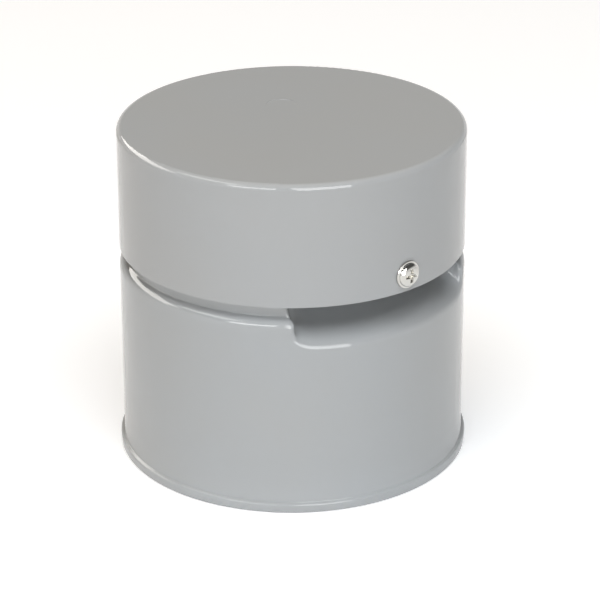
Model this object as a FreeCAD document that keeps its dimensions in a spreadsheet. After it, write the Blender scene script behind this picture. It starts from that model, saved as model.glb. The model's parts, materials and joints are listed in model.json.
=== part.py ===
import FreeCAD, Part
import math
import os
import re

import Sketcher

# Air admittance valve for the open top of a 110 mm soil pipe.
# Origin: centre of the foot flange's underside. +Z is up, millimetres and degrees.
# The two air inlets and the two cap screws face -Y and +Y.
#
# Outside air enters under the cap, rises in a ring channel and waits below a rubber ring that lies on
# two seat lips. Low pressure in the pipe lifts the ring, and the air falls through the open centre.

SIZES = {
    # Foot, wall and socket of the body
    "socket_radius": 55.25,
    "socket_wall": 3.5,
    "socket_lead_in": 1.4,
    "wall_draft": 0.2,
    "flange_reach": 1.25,
    "flange_height": 3.1,
    "flange_round": 0.7,
    # Shoulder and neck of the body
    "shoulder_level": 68.9,
    "shoulder_slope": 28.0,
    "shoulder_width": 3.05,
    "neck_wall": 3.9,
    "neck_height": 22.6,
    "ledge_width": 1.4,
    # Ring channel for the outside air, and the tube inside it that takes the smaller pipe
    "channel_width": 7.6,
    "tube_wall": 2.75,
    "tube_foot_drop": 0.84,
    "pipe_stop_height": 4.2,
    "pipe_stop_width": 2.4,
    # Air inlets
    "inlet_angle": 75.5,
    "lip_drop": 10.64,
    "inlet_slope": 29.0,
    "inlet_cover": 1.23,
    "inlet_corner_round": 6.0,
    "mouth_round": 1.8,
    "floor_thick": 3.0,
    # Pockets that core the moulding between the inlets
    "core_angle": 16.5,
    "core_pitch": 20.0,
    "core_wall": 3.0,
    "core_step": 0.6,
    # Seat stack: gaskets, plate and lips
    "seat_depth": 7.3,
    "gasket_thick": 0.8,
    "plate_thick": 2.0,
    "plate_clearance": 0.15,
    "lip_height": 2.5,
    "lip_width": 1.2,
    "inner_lip_inset": 0.6,
    "outer_lip_inset": 1.8,
    "air_slot_angle": 40.0,
    "hub_radius": 7.0,
    "hub_height": 4.0,
    "spoke_width": 2.4,
    "catch_angle": 9.0,
    "catch_reach": 0.6,
    "catch_height": 1.3,
    # Insect screen
    "screen_gap": 0.4,
    "screen_rim": 0.6,
    "screen_slot_angle": 3.2,
    # Guide post and the valve disc that slides on it
    "post_radius": 4.0,
    "post_collar_radius": 6.0,
    "post_collar_height": 1.0,
    "post_top_gap": 2.9,
    "fit_gap": 0.05,
    "running_gap": 0.1,
    "diaphragm_thick": 1.6,
    "diaphragm_overlap": 0.6,
    "carrier_thick": 2.0,
    "carrier_inset": 0.3,
    "carrier_rim_height": 1.0,
    "carrier_rim_width": 1.4,
    "carrier_spoke_width": 2.4,
    "sleeve_wall": 2.6,
    "sleeve_height": 6.0,
    "clamp_thick": 1.2,
    "clamp_inset": 1.1,
    "valve_lift": 8.0,
    "stop_gap": 0.1,
    # Cap and its seal
    "rim_gap": 4.37,
    "cap_gap": 0.4,
    "cap_wall": 2.63,
    "cap_draft": 0.23,
    "cap_top_thick": 3.0,
    "cap_edge_round": 1.95,
    "cap_rib_thick": 2.2,
    "cap_rib_depth": 3.0,
    "cap_rib_reach": 3.1,
    "stop_height": 6.7,
    "stop_wall": 2.4,
    "stop_bore_gap": 0.4,
    "mark_radius": 5.3,
    "mark_depth": 0.12,
    "mark_across": 7.9,
    "mark_back": 14.9,
    "seal_thick": 2.5,
    "seal_chamfer": 0.7,
    "seal_drop": 3.5,
    "seal_space": 0.3,
    # Screws
    "screw_rise": 4.7,
    "screw_head_radius": 4.65,
    "screw_rim_height": 0.7,
    "screw_rim_width": 0.65,
    "screw_head_height": 2.5,
    "screw_head_round": 1.6,
    "screw_shank_radius": 2.0,
    "screw_length": 9.5,
    "screw_point": 1.6,
    "screw_recess_width": 1.0,
    "screw_recess_reach": 2.1,
    "screw_recess_depth": 1.5,
    "skirt_hole_gap": 0.5,
    "screw_tip_gap": 0.3,
    "boss_wall": 2.5,
    "boss_end": 1.2,
}

# How many times each repeated form comes round the axis
AIR_SLOTS = 8
SEAT_SPOKES = 4
CATCHES = 8
SCREEN_SLOTS = 48
CARRIER_SPOKES = 6
CAP_RIBS = 8
CORES_PER_SIDE = 5
INLETS = 2

# How near an edge must be to the place it is looked for at
NEAR = 0.1

# Places worked out from the sizes, as expressions
WALL_RADIUS = "(socket_radius + socket_wall)"
WALL_TOP_RADIUS = f"({WALL_RADIUS} - wall_draft)"
FLANGE_RADIUS = f"({WALL_RADIUS} + flange_reach)"
NECK_RADIUS = f"({WALL_TOP_RADIUS} - shoulder_width)"
NECK_BORE = f"({NECK_RADIUS} - neck_wall)"
NECK_TOP = "(shoulder_level + neck_height)"
TUBE_RADIUS = f"({NECK_BORE} - channel_width)"
TUBE_BORE = f"({TUBE_RADIUS} - tube_wall)"
SHOULDER_EDGE = "(shoulder_level - shoulder_width * tan(shoulder_slope))"
INLET_LIP = "(shoulder_level - lip_drop)"
CAP_RIM_LEVEL = "(shoulder_level + rim_gap)"
INLET_TOP = f"({CAP_RIM_LEVEL} + inlet_cover)"
SCREW_LEVEL = f"({INLET_TOP} + screw_rise)"
SEAL_LEVEL = f"({NECK_TOP} - seal_drop)"
SEAT_LEVEL = f"({NECK_TOP} - seat_depth)"
LEDGE_RADIUS = f"({NECK_BORE} - ledge_width)"
PIPE_STOP_LEVEL = f"({SEAT_LEVEL} - pipe_stop_height)"
PIPE_STOP_BORE = f"({TUBE_BORE} - pipe_stop_width)"
PLATE_FOOT = f"({SEAT_LEVEL} + gasket_thick)"
PLATE_TOP = f"({PLATE_FOOT} + plate_thick)"
LIP_TOP = f"({PLATE_TOP} + lip_height)"
PLATE_RIM = f"({NECK_BORE} - plate_clearance)"
PLATE_BORE = f"({TUBE_BORE} - pipe_stop_width / 2)"
INNER_LIP = f"({TUBE_RADIUS} - inner_lip_inset)"
OUTER_LIP = f"({NECK_BORE} - outer_lip_inset)"
SLOT_INNER = f"({INNER_LIP} + lip_width)"
SLOT_OUTER = f"({OUTER_LIP} - lip_width)"
CARRIER_FOOT = f"({LIP_TOP} + diaphragm_thick)"
SLEEVE_BORE = "(post_radius + running_gap)"
SLEEVE_RADIUS = f"({SLEEVE_BORE} + sleeve_wall)"
SLEEVE_TOP = f"({CARRIER_FOOT} + sleeve_height)"
DISC_BORE = f"({INNER_LIP} - lip_width / 2 - diaphragm_overlap)"
DISC_RADIUS = f"({OUTER_LIP} + lip_width / 2 + diaphragm_overlap)"
CARRIER_BORE = f"({DISC_BORE} + carrier_inset)"
CARRIER_RADIUS = f"({DISC_RADIUS} - carrier_inset)"
HUB_TOP = f"({PLATE_FOOT} + hub_height)"
STOP_FOOT = f"({SLEEVE_TOP} + valve_lift + stop_gap)"
STOP_BORE = "(post_radius + stop_bore_gap)"
STOP_RADIUS = f"({STOP_BORE} + stop_wall)"
CAP_BORE = f"({NECK_RADIUS} + cap_gap)"
CAP_RIM_RADIUS = f"({CAP_BORE} + cap_wall)"
CAP_EDGE_RADIUS = f"({CAP_RIM_RADIUS} - cap_draft)"
CAP_CEILING = f"({STOP_FOOT} + stop_height)"
CAP_TOP = f"({CAP_CEILING} + cap_top_thick)"
POST_TOP = f"({CAP_CEILING} - post_top_gap)"
CAP_HEIGHT = f"({CAP_TOP} - {CAP_RIM_LEVEL})"
HEAD_FOOT = f"({SCREW_LEVEL} - screw_head_radius)"
HEAD_SEAT = f"({CAP_RIM_RADIUS} - cap_draft * ({HEAD_FOOT} - {CAP_RIM_LEVEL}) / {CAP_HEIGHT})"
SCREW_TIP = f"({HEAD_SEAT} - screw_length)"
HEAD_TOP = f"({HEAD_SEAT} + screw_head_height)"


def inlet_floor(radius):
    """Height of an air inlet's sloping floor at a radius."""
    return f"({INLET_LIP} + ({WALL_TOP_RADIUS} - {radius}) * tan(inlet_slope))"


def floor_underside(radius):
    """Height of the socket's conical ceiling at a radius."""
    return f"({inlet_floor(radius)} - floor_thick / cos(inlet_slope))"


doc = FreeCAD.newDocument("air_admittance_valve")
sheet = doc.addObject("Spreadsheet::Sheet", "Sizes")
for row, (alias, number) in enumerate(SIZES.items(), start=1):
    sheet.set(f"A{row}", alias)
    sheet.set(f"B{row}", str(number))
    sheet.setAlias(f"B{row}", alias)
doc.recompute()


def bound(text):
    """An expression's text with the sheet's name put before each size."""
    return re.sub(r"[a-z_]+", lambda word: f"Sizes.{word[0]}" if word[0] in SIZES else word[0], text)


def value(text):
    """The present value of an expression."""
    return float(sheet.evalExpression(bound(text)))


def new_body(label):
    body = doc.addObject("PartDesign::Body", label)
    body.Label = label
    body.AllowCompound = True
    return body


def origin_feature(body, role):
    return next(item for item in body.Origin.OriginFeatures if item.Role == role)


def new_sketch(body, name, plane, lift="0", up="0", turned="0"):
    """A sketch on one of the body's planes, moved out of it or up in it, or turned about its up axis."""
    sketch = body.newObject("Sketcher::SketchObject", name)
    sketch.AttachmentSupport = [(origin_feature(body, plane), "")]
    sketch.MapMode = "FlatFace"
    turn_axis = FreeCAD.Vector(0, 1, 0)
    sketch.AttachmentOffset = FreeCAD.Placement(FreeCAD.Vector(), FreeCAD.Rotation(turn_axis, value(turned)))
    sketch.setExpression("AttachmentOffset.Rotation.Angle", bound(turned))
    sketch.setExpression("AttachmentOffset.Base.y", bound(up))
    sketch.setExpression("AttachmentOffset.Base.z", bound(lift))
    return sketch


def add_outline(sketch, corners):
    """A closed outline of straight lines, each corner held by its two distances from the origin."""
    first = sketch.GeometryCount
    points = [FreeCAD.Vector(value(across), value(up), 0) for across, up in corners]
    count = len(points)
    for index in range(count):
        sketch.addGeometry(Part.LineSegment(points[index], points[(index + 1) % count]), False)
    for index in range(count):
        following = first + (index + 1) % count
        sketch.addConstraint(Sketcher.Constraint("Coincident", first + index, 2, following, 1))
    for index, (across, up) in enumerate(corners):
        for kind, text in (("DistanceX", across), ("DistanceY", up)):
            limit = Sketcher.Constraint(kind, -1, 1, first + index, 1, value(text))
            number = sketch.addConstraint(limit)
            sketch.setExpression(f"Constraints[{number}]", bound(text))


def add_circle(sketch, across, up, radius):
    circle = Part.Circle(FreeCAD.Vector(value(across), value(up), 0), FreeCAD.Vector(0, 0, 1), value(radius))
    index = sketch.addGeometry(circle, False)
    limits = (("DistanceX", (-1, 1, index, 3), across), ("DistanceY", (-1, 1, index, 3), up))
    for kind, places, text in limits:
        number = sketch.addConstraint(Sketcher.Constraint(kind, *places, value(text)))
        sketch.setExpression(f"Constraints[{number}]", bound(text))
    number = sketch.addConstraint(Sketcher.Constraint("Radius", index, value(radius)))
    sketch.setExpression(f"Constraints[{number}]", bound(radius))


def turn(body, name, corner_lists, kind="Revolution", angle="360", plane="XZ_Plane", turned="0"):
    """Revolve outlines given as (radius, height) about the vertical axis, centred on their plane."""
    sketch = new_sketch(body, f"{name}_outline", plane, turned=turned)
    for corners in corner_lists:
        add_outline(sketch, corners)
    feature = body.newObject(f"PartDesign::{kind}", name)
    feature.Profile = sketch
    feature.ReferenceAxis = (sketch, ["V_Axis"])
    feature.Midplane = angle != "360"
    feature.setExpression("Angle", bound(angle))
    doc.recompute()
    return feature


def extrude(body, name, sketch, length, kind="Pad", both_ways=False, reverse=False):
    feature = body.newObject(f"PartDesign::{kind}", name)
    feature.Profile = sketch
    feature.SideType = "Symmetric" if both_ways else "One side"
    feature.Reversed = reverse
    feature.setExpression("Length", bound(length))
    doc.recompute()
    return feature


def repeat(body, name, features, count, sweep="360"):
    """Repeat features, or the whole piece if none are given, about the vertical axis."""
    pattern = body.newObject("PartDesign::PolarPattern", name)
    if features:
        pattern.Originals = features
    else:
        pattern.TransformMode = "Whole shape"
    pattern.Axis = (origin_feature(body, "Z_Axis"), [""])
    pattern.setExpression("Angle", bound(sweep))
    pattern.Occurrences = count
    body.Tip = pattern
    doc.recompute()
    return pattern


def edge_names(shape, wanted):
    """Names of the edges whose middle, as (radius, azimuth from +X, height), is wanted."""
    names = []
    for number, edge in enumerate(shape.Edges, start=1):
        middle = edge.valueAt((edge.FirstParameter + edge.LastParameter) / 2)
        radius = math.hypot(middle.x, middle.y)
        azimuth = math.degrees(math.atan2(middle.y, middle.x))
        if wanted(radius, azimuth, middle.z, edge):
            names.append(f"Edge{number}")
    return names


def round_edges(body, name, radius, wanted):
    base = body.Tip
    feature = body.newObject("PartDesign::Fillet", name)
    feature.Base = (base, edge_names(base.Shape, wanted))
    feature.setExpression("Radius", bound(radius))
    body.Tip = feature
    doc.recompute()
    return feature


def is_ring(edge, radius, level):
    """Whether an edge is a circle about the vertical axis with this radius and height."""
    if not isinstance(edge.Curve, Part.Circle):
        return False
    centre = edge.Curve.Center
    place = (edge.Curve.Radius - value(radius), centre.x, centre.y, centre.z - value(level))
    return max(abs(step) for step in place) < NEAR / 10


def make_body():
    """The body: foot flange, pipe socket, air inlets, shoulder, neck and inner tube, moulded in one."""
    body = new_body("body")
    tube_foot = f"({floor_underside('socket_radius')} + tube_foot_drop)"
    turn(body, "shell", [[
        ("socket_radius + socket_lead_in", "0"),
        (FLANGE_RADIUS, "0"),
        (FLANGE_RADIUS, "flange_height"),
        (WALL_RADIUS, "flange_height"),
        (WALL_TOP_RADIUS, SHOULDER_EDGE),
        (NECK_RADIUS, "shoulder_level"),
        (NECK_RADIUS, NECK_TOP),
        (NECK_BORE, NECK_TOP),
        (NECK_BORE, SEAT_LEVEL),
        (LEDGE_RADIUS, SEAT_LEVEL),
        (LEDGE_RADIUS, f"{SEAT_LEVEL} - ledge_width / 2"),
        (NECK_BORE, f"{SEAT_LEVEL} - ledge_width * 3 / 2"),
        (NECK_BORE, INLET_TOP),
        (TUBE_RADIUS, INLET_TOP),
        (TUBE_RADIUS, SEAT_LEVEL),
        (PIPE_STOP_BORE, SEAT_LEVEL),
        (PIPE_STOP_BORE, PIPE_STOP_LEVEL),
        (TUBE_BORE, PIPE_STOP_LEVEL),
        (TUBE_BORE, tube_foot),
        (TUBE_RADIUS, tube_foot),
        (TUBE_RADIUS, floor_underside(TUBE_RADIUS)),
        ("socket_radius", floor_underside("socket_radius")),
        ("socket_radius", "socket_lead_in"),
    ]])
    round_edges(body, "flange_edge", "flange_round",
                lambda radius, azimuth, level, edge: is_ring(edge, FLANGE_RADIUS, "flange_height"))
    groove_half = "((seal_thick + seal_space) / 2)"
    groove_floor = f"({CAP_BORE} - seal_thick - seal_space)"
    turn(body, "seal_groove", [[
        (groove_floor, f"{SEAL_LEVEL} - {groove_half}"),
        (CAP_BORE, f"{SEAL_LEVEL} - {groove_half}"),
        (CAP_BORE, f"{SEAL_LEVEL} + {groove_half}"),
        (groove_floor, f"{SEAL_LEVEL} + {groove_half}"),
    ]], kind="Groove")

    # Each inlet is cut through the wall down to a floor that slopes up to the inner tube
    beyond = f"({WALL_RADIUS} + floor_thick)"
    inlet = turn(body, "inlet", [[
        (TUBE_RADIUS, inlet_floor(TUBE_RADIUS)),
        (beyond, inlet_floor(beyond)),
        (beyond, INLET_TOP),
        (TUBE_RADIUS, INLET_TOP),
    ]], kind="Groove", angle="inlet_angle", plane="YZ_Plane")
    repeat(body, "inlets", [inlet], INLETS)
    half = value("inlet_angle") / 2

    def from_inlet(azimuth):
        """Angle in degrees to the middle of the nearer inlet."""
        return abs(abs(azimuth) - 90)

    def at_floor_corner(radius, azimuth, level, edge):
        at_end_wall = abs(from_inlet(azimuth) - half) < NEAR
        on_floor = abs(level - value(inlet_floor(f"{radius:.6f}"))) < NEAR
        return at_end_wall and on_floor and radius < value(WALL_RADIUS) - 1

    def at_mouth(radius, azimuth, level, edge):
        beside_inlet = from_inlet(azimuth) < half + NEAR
        outside = radius > value(NECK_RADIUS) - NEAR and level < value(INLET_TOP) - NEAR
        return (beside_inlet and outside) or is_ring(edge, WALL_TOP_RADIUS, SHOULDER_EDGE)

    round_edges(body, "inlet_corners", "inlet_corner_round", at_floor_corner)
    round_edges(body, "inlet_mouths", "mouth_round", at_mouth)

    # Pockets from below keep the walls between the inlets thin, with ribs left between them
    core_inner = f"({TUBE_RADIUS} + core_wall)"
    core_outer = "(socket_radius - core_step)"
    core_foot = f"({floor_underside('socket_radius')} - 2 * floor_thick)"
    core_outline = [[
        (core_inner, core_foot),
        (core_outer, core_foot),
        (core_outer, f"{SHOULDER_EDGE} - core_wall"),
        (f"{NECK_BORE} + core_wall / 3", f"{SHOULDER_EDGE} - core_wall / 3"),
        (f"{NECK_BORE} + core_wall / 3", f"{INLET_TOP} - core_wall"),
        (core_inner, f"{INLET_TOP} - core_wall"),
    ]]
    core_sweep = f"core_pitch * {CORES_PER_SIDE - 1}"
    for side, middle in (("right", 0), ("left", 180)):
        core = turn(body, f"core_{side}", core_outline, kind="Groove", angle="core_angle",
                    turned=f"{middle} - {core_sweep} / 2")
        repeat(body, f"cores_{side}", [core], CORES_PER_SIDE, sweep=core_sweep)

    # A boss behind each screw, and snap catches over the seat plate's rim
    boss_circle = new_sketch(body, "boss_circle", "XZ_Plane", lift=f"{SCREW_TIP} - boss_end")
    add_circle(boss_circle, "0", SCREW_LEVEL, "screw_shank_radius + boss_wall")
    boss = extrude(body, "boss", boss_circle, f"{NECK_BORE} + neck_wall / 2 - {SCREW_TIP} + boss_end")
    hole_circle = new_sketch(body, "screw_hole_circle", "XZ_Plane", lift=NECK_RADIUS)
    add_circle(hole_circle, "0", SCREW_LEVEL, "screw_shank_radius + fit_gap")
    hole_depth = f"{NECK_RADIUS} - {SCREW_TIP} + screw_tip_gap"
    hole = extrude(body, "screw_hole", hole_circle, hole_depth, kind="Pocket")
    repeat(body, "bosses", [boss, hole], INLETS)
    catch_foot = f"({PLATE_TOP} + fit_gap)"
    catch = turn(body, "catch", [[
        (f"{NECK_BORE} + catch_reach", catch_foot),
        (f"{NECK_BORE} + catch_reach", f"{catch_foot} + catch_height"),
        (NECK_BORE, f"{catch_foot} + catch_height"),
        (f"{NECK_BORE} - catch_reach", f"{catch_foot} + catch_height / 3"),
        (f"{NECK_BORE} - catch_reach", catch_foot),
    ]], angle="catch_angle")
    repeat(body, "catches", [catch], CATCHES)
    return body


def make_cap():
    """The cap: a drum with a stop for the valve disc under its top and ribs that rest on the neck."""
    cap = new_body("cap")
    turn(cap, "drum", [[
        ("0", CAP_TOP),
        ("0", CAP_CEILING),
        (STOP_BORE, CAP_CEILING),
        (STOP_BORE, STOP_FOOT),
        (STOP_RADIUS, STOP_FOOT),
        (STOP_RADIUS, CAP_CEILING),
        (CAP_BORE, CAP_CEILING),
        (CAP_BORE, CAP_RIM_LEVEL),
        (CAP_RIM_RADIUS, CAP_RIM_LEVEL),
        (CAP_EDGE_RADIUS, CAP_TOP),
    ]])
    round_edges(cap, "top_edge", "cap_edge_round",
                lambda radius, azimuth, level, edge: is_ring(edge, CAP_EDGE_RADIUS, CAP_TOP))
    rib_outline = new_sketch(cap, "rib_outline", "XZ_Plane")
    rib_end = f"({CAP_BORE} - cap_rib_reach)"
    add_outline(rib_outline, [
        (f"{STOP_RADIUS} - stop_wall / 2", f"{CAP_CEILING} + cap_top_thick / 2"),
        (f"{STOP_RADIUS} - stop_wall / 2", f"{CAP_CEILING} - cap_rib_depth"),
        (rib_end, f"{CAP_CEILING} - cap_rib_depth"),
        (rib_end, NECK_TOP),
        (f"{CAP_BORE} + cap_wall / 3", NECK_TOP),
        (f"{CAP_BORE} + cap_wall / 3", f"{CAP_CEILING} + cap_top_thick / 2"),
    ])
    rib = extrude(cap, "rib", rib_outline, "cap_rib_thick", both_ways=True)
    repeat(cap, "ribs", [rib], CAP_RIBS)
    hole_circle = new_sketch(cap, "hole_circle", "XZ_Plane")
    add_circle(hole_circle, "0", SCREW_LEVEL, "screw_shank_radius + skirt_hole_gap")
    extrude(cap, "screw_holes", hole_circle, f"3 * {CAP_RIM_RADIUS}", kind="Pocket", both_ways=True)
    mark_circle = new_sketch(cap, "mark_circle", "XY_Plane", lift=CAP_TOP)
    add_circle(mark_circle, "mark_across", "mark_back", "mark_radius")
    extrude(cap, "mould_mark", mark_circle, "mark_depth", kind="Pocket")
    return cap


def make_cap_screws():
    """Domed screws with a thin rim and a cross recess, one through the cap's skirt over each inlet."""
    screws = new_body("cap_screws")
    outline = new_sketch(screws, "screw_outline", "YZ_Plane", up=SCREW_LEVEL)
    rim_top = f"({HEAD_SEAT} + screw_rim_height)"
    add_outline(outline, [
        (SCREW_TIP, "0"),
        (f"{SCREW_TIP} + screw_point", "screw_shank_radius"),
        (HEAD_SEAT, "screw_shank_radius"),
        (HEAD_SEAT, "screw_head_radius"),
        (rim_top, "screw_head_radius"),
        (rim_top, "screw_head_radius - screw_rim_width"),
        (HEAD_TOP, "screw_head_radius - screw_rim_width"),
        (HEAD_TOP, "0"),
    ])
    screw = screws.newObject("PartDesign::Revolution", "screw")
    screw.Profile = outline
    screw.ReferenceAxis = (outline, ["H_Axis"])
    doc.recompute()
    round_edges(screws, "head_round", "screw_head_round",
                lambda radius, azimuth, level, edge: isinstance(edge.Curve, Part.Circle)
                and edge.BoundBox.YMin > value(HEAD_TOP) - NEAR)
    recess = new_sketch(screws, "recess_outline", "XZ_Plane", lift=f"0 - {HEAD_TOP}", up=SCREW_LEVEL)
    reach, width = "screw_recess_reach", "screw_recess_width / 2"
    add_outline(recess, [
        (reach, f"0 - {width}"), (reach, width), (width, width),
        (width, reach), (f"0 - {width}", reach), (f"0 - {width}", width),
        (f"0 - {reach}", width), (f"0 - {reach}", f"0 - {width}"), (f"0 - {width}", f"0 - {width}"),
        (f"0 - {width}", f"0 - {reach}"), (width, f"0 - {reach}"), (width, f"0 - {width}"),
    ])
    extrude(screws, "recess", recess, "screw_recess_depth", kind="Pocket", reverse=True)
    repeat(screws, "pair", [], INLETS)
    return screws


def make_cap_seal():
    """Rubber ring in the neck's groove that seals the cap, whose inside is open to the pipe."""
    seal = new_body("cap_seal")
    inner = f"({CAP_BORE} - seal_thick - seal_space / 2)"
    outer = f"({CAP_BORE} - seal_space / 2)"
    foot = f"({SEAL_LEVEL} - seal_thick / 2)"
    crown = f"({SEAL_LEVEL} + seal_thick / 2)"
    turn(seal, "ring", [[
        (inner, foot),
        (f"{outer} - seal_chamfer", foot),
        (outer, f"{foot} + seal_chamfer"),
        (outer, f"{crown} - seal_chamfer"),
        (f"{outer} - seal_chamfer", crown),
        (inner, crown),
    ]])
    return seal


def make_seat_plate():
    """The seat: two raised lips with air slots between them, and a spider that holds the post's hub."""
    plate = new_body("seat_plate")
    corners = [(PLATE_BORE, PLATE_FOOT), (PLATE_RIM, PLATE_FOOT), (PLATE_RIM, PLATE_TOP)]
    for lip in (OUTER_LIP, INNER_LIP):
        corners += [
            (f"{lip} + lip_width / 2", PLATE_TOP),
            (f"{lip} + lip_width / 4", LIP_TOP),
            (f"{lip} - lip_width / 4", LIP_TOP),
            (f"{lip} - lip_width / 2", PLATE_TOP),
        ]
    corners.append((PLATE_BORE, PLATE_TOP))
    turn(plate, "ring", [corners])
    slot = turn(plate, "air_slot", [[
        (SLOT_INNER, f"{PLATE_FOOT} - plate_thick"),
        (SLOT_OUTER, f"{PLATE_FOOT} - plate_thick"),
        (SLOT_OUTER, f"{PLATE_TOP} + plate_thick"),
        (SLOT_INNER, f"{PLATE_TOP} + plate_thick"),
    ]], kind="Groove", angle="air_slot_angle")
    repeat(plate, "air_slots", [slot], AIR_SLOTS)
    add_spider(plate, "post_radius + fit_gap", "hub_radius", f"{PLATE_BORE} + spoke_width / 2", PLATE_FOOT,
               "spoke_width", "hub_height", "hub_height", SEAT_SPOKES)
    return plate


def add_spider(body, bore, hub, reach, foot, width, spoke_height, hub_height, count):
    """Spokes that join a ring to a bored hub in its middle, all standing on one level."""
    spoke_outline = new_sketch(body, "spoke_outline", "XY_Plane", lift=foot)
    root = f"({bore} + ({hub} - ({bore})) / 2)"
    add_outline(spoke_outline, [
        (root, f"0 - {width} / 2"), (reach, f"0 - {width} / 2"),
        (reach, f"{width} / 2"), (root, f"{width} / 2"),
    ])
    spoke = extrude(body, "spoke", spoke_outline, spoke_height)
    repeat(body, "spokes", [spoke], count)
    hub_circle = new_sketch(body, "hub_circle", "XY_Plane", lift=foot)
    add_circle(hub_circle, "0", "0", hub)
    add_circle(hub_circle, "0", "0", bore)
    extrude(body, "hub", hub_circle, hub_height)


def make_seat_gaskets():
    """Two flat rubber rings between the seat plate and the tube's top and neck's ledge."""
    gaskets = new_body("seat_gaskets")
    outlines = []
    for inner, outer in ((PLATE_BORE, TUBE_RADIUS), (LEDGE_RADIUS, PLATE_RIM)):
        outlines.append([(inner, SEAT_LEVEL), (outer, SEAT_LEVEL), (outer, PLATE_FOOT), (inner, PLATE_FOOT)])
    turn(gaskets, "rings", outlines)
    return gaskets


def make_insect_screen():
    """A slotted ring under the air slots that keeps insects out of the valve."""
    screen = new_body("insect_screen")
    inner = f"({TUBE_RADIUS} + screen_gap)"
    outer = f"({LEDGE_RADIUS} - screen_gap)"
    turn(screen, "ring", [[
        (inner, SEAT_LEVEL), (outer, SEAT_LEVEL), (outer, PLATE_FOOT), (inner, PLATE_FOOT),
    ]])
    slot = turn(screen, "slot", [[
        (f"{inner} + screen_rim", f"{SEAT_LEVEL} - gasket_thick"),
        (f"{outer} - screen_rim", f"{SEAT_LEVEL} - gasket_thick"),
        (f"{outer} - screen_rim", f"{PLATE_FOOT} + gasket_thick"),
        (f"{inner} + screen_rim", f"{PLATE_FOOT} + gasket_thick"),
    ]], kind="Groove", angle="screen_slot_angle")
    repeat(screen, "slots", [slot], SCREEN_SLOTS)
    return screen


def make_guide_post():
    """The stem in the seat's hub, with a collar on the hub and a chamfered top inside the cap's stop."""
    post = new_body("guide_post")
    collar_top = f"({HUB_TOP} + post_collar_height)"
    turn(post, "stem", [[
        ("0", PLATE_FOOT),
        ("post_radius", PLATE_FOOT),
        ("post_radius", HUB_TOP),
        ("post_collar_radius", HUB_TOP),
        ("post_collar_radius", collar_top),
        ("post_radius", collar_top),
        ("post_radius", f"{POST_TOP} - post_collar_height"),
        ("post_radius - post_collar_height", POST_TOP),
        ("0", POST_TOP),
    ]])
    return post


def make_diaphragm_carrier():
    """The open ring that holds the diaphragm, with spokes and a sleeve that slides on the post."""
    carrier = new_body("diaphragm_carrier")
    rim_top = f"({CARRIER_FOOT} + carrier_thick + carrier_rim_height)"
    floor_top = f"({CARRIER_FOOT} + carrier_thick)"
    turn(carrier, "ring", [[
        (CARRIER_BORE, CARRIER_FOOT),
        (CARRIER_RADIUS, CARRIER_FOOT),
        (CARRIER_RADIUS, rim_top),
        (f"{CARRIER_RADIUS} - carrier_rim_width", rim_top),
        (f"{CARRIER_RADIUS} - carrier_rim_width", floor_top),
        (f"{CARRIER_BORE} + carrier_rim_width", floor_top),
        (f"{CARRIER_BORE} + carrier_rim_width", rim_top),
        (CARRIER_BORE, rim_top),
    ]])
    add_spider(carrier, SLEEVE_BORE, SLEEVE_RADIUS, f"{CARRIER_BORE} + carrier_rim_width / 2", CARRIER_FOOT,
               "carrier_spoke_width", f"{rim_top} - {CARRIER_FOOT}", "sleeve_height", CARRIER_SPOKES)
    return carrier


def make_diaphragm():
    """The flat rubber ring that lies on both seat lips and closes the valve."""
    diaphragm = new_body("diaphragm")
    turn(diaphragm, "ring", [[
        (DISC_BORE, LIP_TOP), (DISC_RADIUS, LIP_TOP), (DISC_RADIUS, CARRIER_FOOT), (DISC_BORE, CARRIER_FOOT),
    ]])
    return diaphragm


def make_diaphragm_clamp():
    """The ring under the diaphragm, between the seat lips, that holds it to its carrier."""
    clamp = new_body("diaphragm_clamp")
    inner = f"({INNER_LIP} + lip_width / 2 + clamp_inset)"
    outer = f"({OUTER_LIP} - lip_width / 2 - clamp_inset)"
    foot = f"({LIP_TOP} - clamp_thick)"
    turn(clamp, "ring", [[(inner, foot), (outer, foot), (outer, LIP_TOP), (inner, LIP_TOP)]])
    return clamp


sub_parts = [
    make_body(),
    make_cap(),
    make_cap_screws(),
    make_cap_seal(),
    make_seat_plate(),
    make_seat_gaskets(),
    make_insect_screen(),
    make_guide_post(),
    make_diaphragm_carrier(),
    make_diaphragm(),
    make_diaphragm_clamp(),
]
doc.recompute()

failed = [item.Name for item in doc.Objects if {"Invalid", "Error"} & set(item.State)]
failed += [part.Label for part in sub_parts if part.Shape.isNull() or not part.Shape.isValid()]
if failed:
    raise RuntimeError(f"these did not build: {failed}")

os.makedirs("parts", exist_ok=True)
for part in sub_parts:
    part.Shape.exportStep(f"parts/{part.Label}.step")
    print(f"{part.Label}: {len(part.Shape.Solids)} solid(s), {part.Shape.Volume / 1000:.2f} cm3")
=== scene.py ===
import json
import math

import bmesh
import bpy
import numpy as np
from mathutils import Matrix, Vector


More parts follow.
